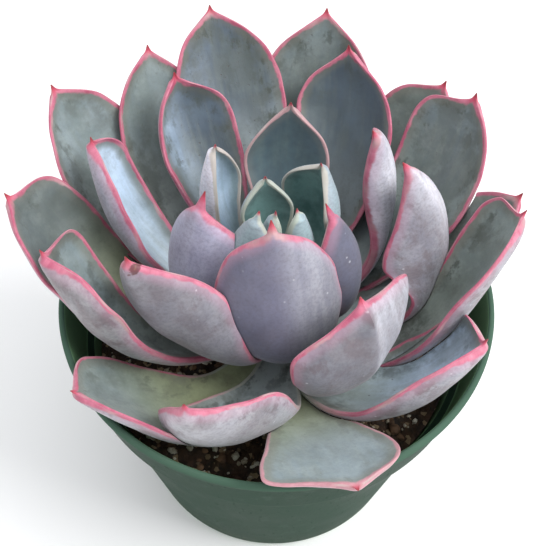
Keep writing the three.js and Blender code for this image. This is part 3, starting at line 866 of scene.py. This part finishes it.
# The leaf's skin, as one group for every leaf: wax, rubbed patches, blush and spots, with painted
# light and painted shade.
skin_group = bpy.data.node_groups.new("waxy_leaf_skin", "ShaderNodeTree")
for key in (*PLAIN_LOOK, "shift"):
    key = key.replace("_", " ").capitalize()
    skin_group.interface.new_socket(key, in_out="INPUT", socket_type="NodeSocketFloat")
skin_group.interface.new_socket("Colour", in_out="OUTPUT", socket_type="NodeSocketColor")
for key in ("Roughness", "Height"):
    skin_group.interface.new_socket(key, in_out="OUTPUT", socket_type="NodeSocketFloat")
add = adder(skin_group)
given = skin_group.nodes.new("NodeGroupInput").outputs


def multiplied(*values):
    result = values[0]
    for value in values[1:]:
        result = add("Math", {0: result, 1: value}, operation="MULTIPLY").outputs[0]
    return result


def plus(first, second):
    return add("Math", {0: first, 1: second}, operation="ADD").outputs[0]


def noted(key, output="Fac"):
    return add("Attribute", attribute_name=key, attribute_type="GEOMETRY").outputs[output]


def over(colour, share, code):
    """The colour covered by another in that share."""
    return blend_colour(add, share, colour, tint(code))


margin, tip, upper = noted("margin_mm"), noted("tip_mm"), noted("upper")
skin_mm = noted("skin_mm", "Vector")
across = add("SeparateXYZ", {0: skin_mm}).outputs[0]
outside = add("Math", {0: 1.0, 1: upper}, operation="SUBTRACT").outputs[0]
shift = add("CombineXYZ", {0: given["Shift"], 1: given["Shift"], 2: 0.0}).outputs[0]
skin_at = add("VectorMath", {0: skin_mm, 1: shift}, operation="ADD").outputs[0]


def skin_noise(size, detail=2, stretch=(1, 1, 1), rough=0.5):
    """Noise on the leaf's own skin, with features about size mm across."""
    way = add("Mapping", {"Vector": skin_at, "Scale": tuple(f / size for f in stretch)})
    made = add(
        "TexNoise",
        {"Vector": way.outputs[0], "Scale": 1.0, "Detail": detail, "Roughness": rough},
    )
    return made.outputs[0]


def mottled(noise, dark, light):
    return blend_colour(add, between(add, noise, 0.35, 0.65), tint(dark), tint(light))


broad = skin_noise(24, 3)
cloudy = skin_noise(8, 4, rough=0.6)
streak = skin_noise(4, 4, (1, 0.12, 1), 0.6)
powder = skin_noise(1.1, 4, rough=0.7)
patch = skin_noise(6, 4, (1, 0.6, 1), 0.65)
fleck = skin_noise(1.4, 2)

# Upper face: sage, slate where the wax is thin, frosted pale blue where it is thick; the frost is
# bloom and partly painted light on the lit half.
inward = between(add, margin, 1.2, 5.0, 0.4, 1.0)
drift = multiplied(plus(broad, streak), 0.5)
face = mottled(cloudy, "#717d75", "#87928a")
slate = mottled(broad, "#43515e", "#5f6f7c")
thin_wax = multiplied(given["Bloom"], between(add, drift, 0.4, 0.55, 0.65, 1))
face = blend_colour(add, thin_wax, face, slate)
face = blend_colour(add, given["Youth"], face, mottled(cloudy, "#48706e", "#6a918e"))
frost = mottled(broad, "#a9bfd6", "#c2d5e7")
rime = multiplied(given["Frost"], inward, between(add, drift, 0.4, 0.58, 0.6, 1.0))
# Side keeps the frost and the outer wax to one half: painted light on the lit half; at 0 they lie
# all over.
sided = add("Math", {0: given["Side"]}, operation="ABSOLUTE").outputs[0]
sided = add("Math", {0: sided, 1: 1.0}, operation="MINIMUM").outputs[0]
lit_side_mask = plus(multiplied(across, given["Side"]), plus(multiplied(sided, -20.0), 20.0))
lit_side_mask = between(add, lit_side_mask, -3.0, 9.0, 0.0, 1.0)
face = blend_colour(add, multiplied(rime, lit_side_mask), face, frost)
face = over(face, between(add, tip, 32, 64, 0.0, 0.55), "#b4bfc2")
face = over(face, multiplied(given["Green"], between(add, tip, 22, 58, 0.0, 0.75)), "#a7b07c")

# Outer face: silver grey to lilac, bruised mauve in places.
silver = mottled(cloudy, "#8f8e90", "#a8a7a8")
lilac = mottled(broad, "#787690", "#9694ae")
outer = blend_colour(add, given["Lilac"], silver, lilac)
bruise = multiplied(given["Mauve"], between(add, patch, 0.42, 0.62))
outer = over(outer, bruise, "#776b70")
outer = over(outer, multiplied(given["Youth"], 0.8), "#9ab6bc")
# Pale wax on the outer face: bloom, and partly a painted highlight on the lit half.
wax = multiplied(given["Wax"], lit_side_mask, between(add, drift, 0.42, 0.56, 0.6, 1.0))
outer = over(outer, wax, "#e8e8f2")
skin_tone = blend_colour(add, upper, outer, face)
# Painted shade: the shade share darkens the whole skin of a leaf that lies in shade.
skin_tone = over(skin_tone, given["Shade"], "#353a48")

# Rubbed places, mostly by the margin, and dark specks; a few white freckles outside.
near_edge = between(add, margin, 2.0, 14.0, 1.0, 0.3)
cloud = between(add, skin_noise(13, 4, rough=0.6), 0.46, 0.6, 0.0, 0.7)
cloud = multiplied(cloud, near_edge, given["Scuff"])
mark = blend_colour(add, upper, tint("#7b7074"), tint("#4e554d"))
skin_tone = blend_colour(add, cloud, skin_tone, mark)
rub = multiplied(between(add, patch, 0.5, 0.62), between(add, cloudy, 0.4, 0.56))
rub = multiplied(rub, given["Scuff"], near_edge)
mark = blend_colour(add, upper, tint("#6c5b62"), tint("#3f473f"))
skin_tone = blend_colour(add, multiplied(rub, 0.85), skin_tone, mark)
speck = multiplied(between(add, fleck, 0.66, 0.75), between(add, cloudy, 0.48, 0.66))
speck = multiplied(speck, given["Scuff"])
skin_tone = over(skin_tone, multiplied(speck, 0.75), "#4c3f3f")
grain = multiplied(between(add, powder, 0.4, 0.7, 0.0, 0.3), plus(multiplied(outside, 0.6), 0.4))
skin_tone = over(skin_tone, grain, "#55505a")
dots = add("TexVoronoi", {"Vector": skin_at, "Scale": 0.3, "Randomness": 1.0})
chance = add("SeparateColor", {0: dots.outputs["Color"]}).outputs[0]
freckle = multiplied(between(add, dots.outputs["Distance"], 0.05, 0.16, 1.0, 0.0), outside)
freckle = multiplied(freckle, between(add, chance, 0.8, 0.85, 0.0, 0.45))
skin_tone = over(skin_tone, freckle, "#e4e5ec")

# The blush: a pink line along the margin, its glow on the outer face, and a red tip.
ragged = between(add, skin_noise(4, 3), 0.3, 0.7, 0.7, 1.35)
line_width = multiplied(given["Line"], ragged, between(add, tip, 2, 16, 1.7, 1.0))
line = add(
    "MapRange",
    {0: margin, 1: multiplied(line_width, 0.45), 2: multiplied(line_width, 1.3), 3: 1.0, 4: 0.0},
    interpolation_type="SMOOTHSTEP",
).outputs[0]
past = plus(tip, multiplied(given["Fade"], -1.0))
blush = multiplied(given["Blush"], between(add, past, 0, 22, 1.0, 0.15))
blush = multiplied(blush, between(add, skin_noise(15, 2), 0.3, 0.5, 0.55, 1.0))
glow = multiplied(between(add, margin, 0.8, 4.5, 0.3, 0.0), plus(multiplied(outside, 0.75), 0.25))
skin_tone = over(skin_tone, multiplied(glow, blush), "#cf9db6")
dull = multiplied(between(add, margin, 1.4, 4.5, 0.4, 0.0), upper, blush)
skin_tone = over(skin_tone, dull, "#66705f")
pink = mottled(patch, "#b04b69", "#cb748b")
skin_tone = blend_colour(
    add, multiplied(line, 0.92), skin_tone, blend_colour(add, blush, tint("#aebfb0"), pink),
)
to_point = add("Math", {0: tip, 1: given["Line"]}, operation="DIVIDE").outputs[0]
red = between(add, to_point, 1.5, 5.0, 0.85, 0.0)
red = multiplied(red, between(add, margin, 0.8, 1.8, 1.0, 0.0))
skin_tone = over(skin_tone, red, "#b93450")
skin_tone = over(skin_tone, between(add, to_point, 0.5, 2.4, 1.0, 0.0), "#982a34")

# A healed wound, where a leaf has one: a dark stain with a little cork in its middle.
off = plus(across, multiplied(given["Cork across"], -1.0))
back = plus(tip, multiplied(given["Cork back"], -1.0))
away = add("VectorMath", {0: add("CombineXYZ", {0: off, 1: back}).outputs[0]}, operation="LENGTH")
away = plus(away.outputs["Value"], multiplied(plus(fleck, -0.5), 3.0))
stain = add(
    "MapRange", {0: away, 1: 0.0, 2: given["Cork"], 3: 1.0, 4: 0.0}, interpolation_type="SMOOTHSTEP"
).outputs[0]
skin_tone = over(skin_tone, between(add, stain, 0.05, 0.4, 0.0, 0.85), "#5a2f30")
skin_tone = over(skin_tone, between(add, stain, 0.8, 1.0, 0.0, 0.4), "#8a6a50")

result = skin_group.nodes.new("NodeGroupOutput")
skin_group.links.new(skin_tone, result.inputs["Colour"])
smoothness = plus(between(add, powder, 0.3, 0.7, 0.46, 0.62), multiplied(rub, -0.12))
skin_group.links.new(smoothness, result.inputs["Roughness"])
relief = plus(multiplied(powder, 0.16), multiplied(streak, 0.4))
relief = plus(relief, multiplied(rub, -0.3))
relief = plus(relief, multiplied(stain, -0.5))
skin_group.links.new(plus(relief, multiplied(speck, -0.5)), result.inputs["Height"])


SKIN_APART = 77


def leaf_skin(name, look, shift_by):
    """A material for one leaf from the shared skin, with its own look."""
    made, tree, shader, add = paint(name)
    group = add("Group")
    group.node_tree = skin_group
    for key, value in look.items():
        group.inputs[key.replace("_", " ").capitalize()].default_value = value
    group.inputs["Shift"].default_value = shift_by
    tree.links.new(group.outputs["Colour"], shader.inputs["Base Color"])
    tree.links.new(group.outputs["Roughness"], shader.inputs["Roughness"])
    bump = add("Bump", {"Height": group.outputs["Height"], "Strength": 0.5, "Distance": 0.0004})
    tree.links.new(bump.outputs[0], shader.inputs["Normal"])
    shader.inputs["Specular IOR Level"].default_value = 0.45
    shader.inputs["Subsurface Weight"].default_value = 0.12
    shader.inputs["Subsurface Radius"].default_value = (0.003, 0.0022, 0.0016)
    shader.inputs["Sheen Weight"].default_value = 0.2
    shader.inputs["Sheen Roughness"].default_value = 0.5
    return made


for number in range(len(LEAVES), 0, -1):
    row, shape, own_look = LEAVES[number - 1]
    spec = {**ORDINARY, **dict(zip(COLUMNS, row)), **shape}
    points, notes = leaf_form(spec, number, 0)
    name = f"leaf_{number:02d}"
    leaf = shown(name + "_blade", leaf_mesh(name, points), 70)
    cut_away(leaf, bores)
    keep_largest(leaf.data)
    leaf.data.shade_smooth()
    leaf.data.set_sharp_from_angle(angle=math.radians(70))
    note_places(leaf.data, points.reshape(-1, 3) * MM, notes.reshape(-1, 5))
    look = {**PLAIN_LOOK, **own_look}
    leaf.data.materials.append(leaf_skin(name + "_skin", look, number * SKIN_APART))
    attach(leaf, "root")
    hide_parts(name)
    room = leaf_form(spec, number, GAP)[0]
    clearance = bpy.data.objects.new("clear_" + name, leaf_mesh("clear_" + name, room))
    bores.objects.link(clearance)
stepped_out(bores)

# SETTING. A plain white floor under a broad soft light from the upper right, a weaker one
# above and a weak one at the left. The camera is above the front, looking down on the pot.
CAMERA_AT = (-0.0036, -0.17161, 0.33514)
CAMERA_DOWN = 52.2
CAMERA_ROLL = 0.65
LENS = 53.3

FLOOR_REACH = 3.0
FLOOR_BELOW = 0.0004

floor_mesh = bpy.data.meshes.new("floor")
floor_mesh.from_pydata(
    [
        (x * FLOOR_REACH, y * FLOOR_REACH, -FLOOR_BELOW)
        for x, y in ((-1, -1), (1, -1), (1, 1), (-1, 1))
    ],
    [], [(0, 1, 2, 3)],
)
floor = shown("floor", floor_mesh)
ground, tree, shader, add = paint("white_floor")
shader.inputs["Base Color"].default_value = (0.93, 0.93, 0.93, 1)
shader.inputs["Roughness"].default_value = 0.9
floor.data.materials.append(ground)


def softbox(name, at, size, watts, colour):
    lamp = bpy.data.lights.new(name, "AREA")
    lamp.shape = "RECTANGLE"
    lamp.size, lamp.size_y = size
    lamp.energy = watts
    lamp.color = colour
    made = bpy.data.objects.new(name, lamp)
    made.location = at
    made.rotation_mode = "QUATERNION"
    made.rotation_quaternion = (Vector(at) - Vector((0, 0, 0.1))).to_track_quat("Z", "Y")
    bpy.context.scene.collection.objects.link(made)


softbox("key_light", (0.9, -0.22, 1.15), (0.8, 0.7), 17, (1, 0.995, 0.99))
softbox("top_light", (0.1, 0.15, 1.3), (1.2, 1.0), 4, (0.97, 0.985, 1))
softbox("left_light", (-1.2, 0.1, 0.8), (0.9, 0.9), 1.5, (0.92, 0.96, 1))
world = bpy.data.worlds.new("studio")
world.use_nodes = True
world.node_tree.nodes["Background"].inputs[0].default_value = (0.97, 0.98, 1, 1)
world.node_tree.nodes["Background"].inputs[1].default_value = 0.85
bpy.context.scene.world = world
bpy.context.scene.view_settings.view_transform = "Standard"

eye = bpy.data.cameras.new("camera")
eye.lens = LENS
eye.sensor_width = 36
camera = bpy.data.objects.new("camera", eye)
down = Matrix.Rotation(math.radians(90 - CAMERA_DOWN), 4, "X")
camera.matrix_world = (
    Matrix.Translation(CAMERA_AT) @ down @ Matrix.Rotation(math.radians(CAMERA_ROLL), 4, "Z")
)
bpy.context.scene.collection.objects.link(camera)
bpy.context.scene.camera = camera
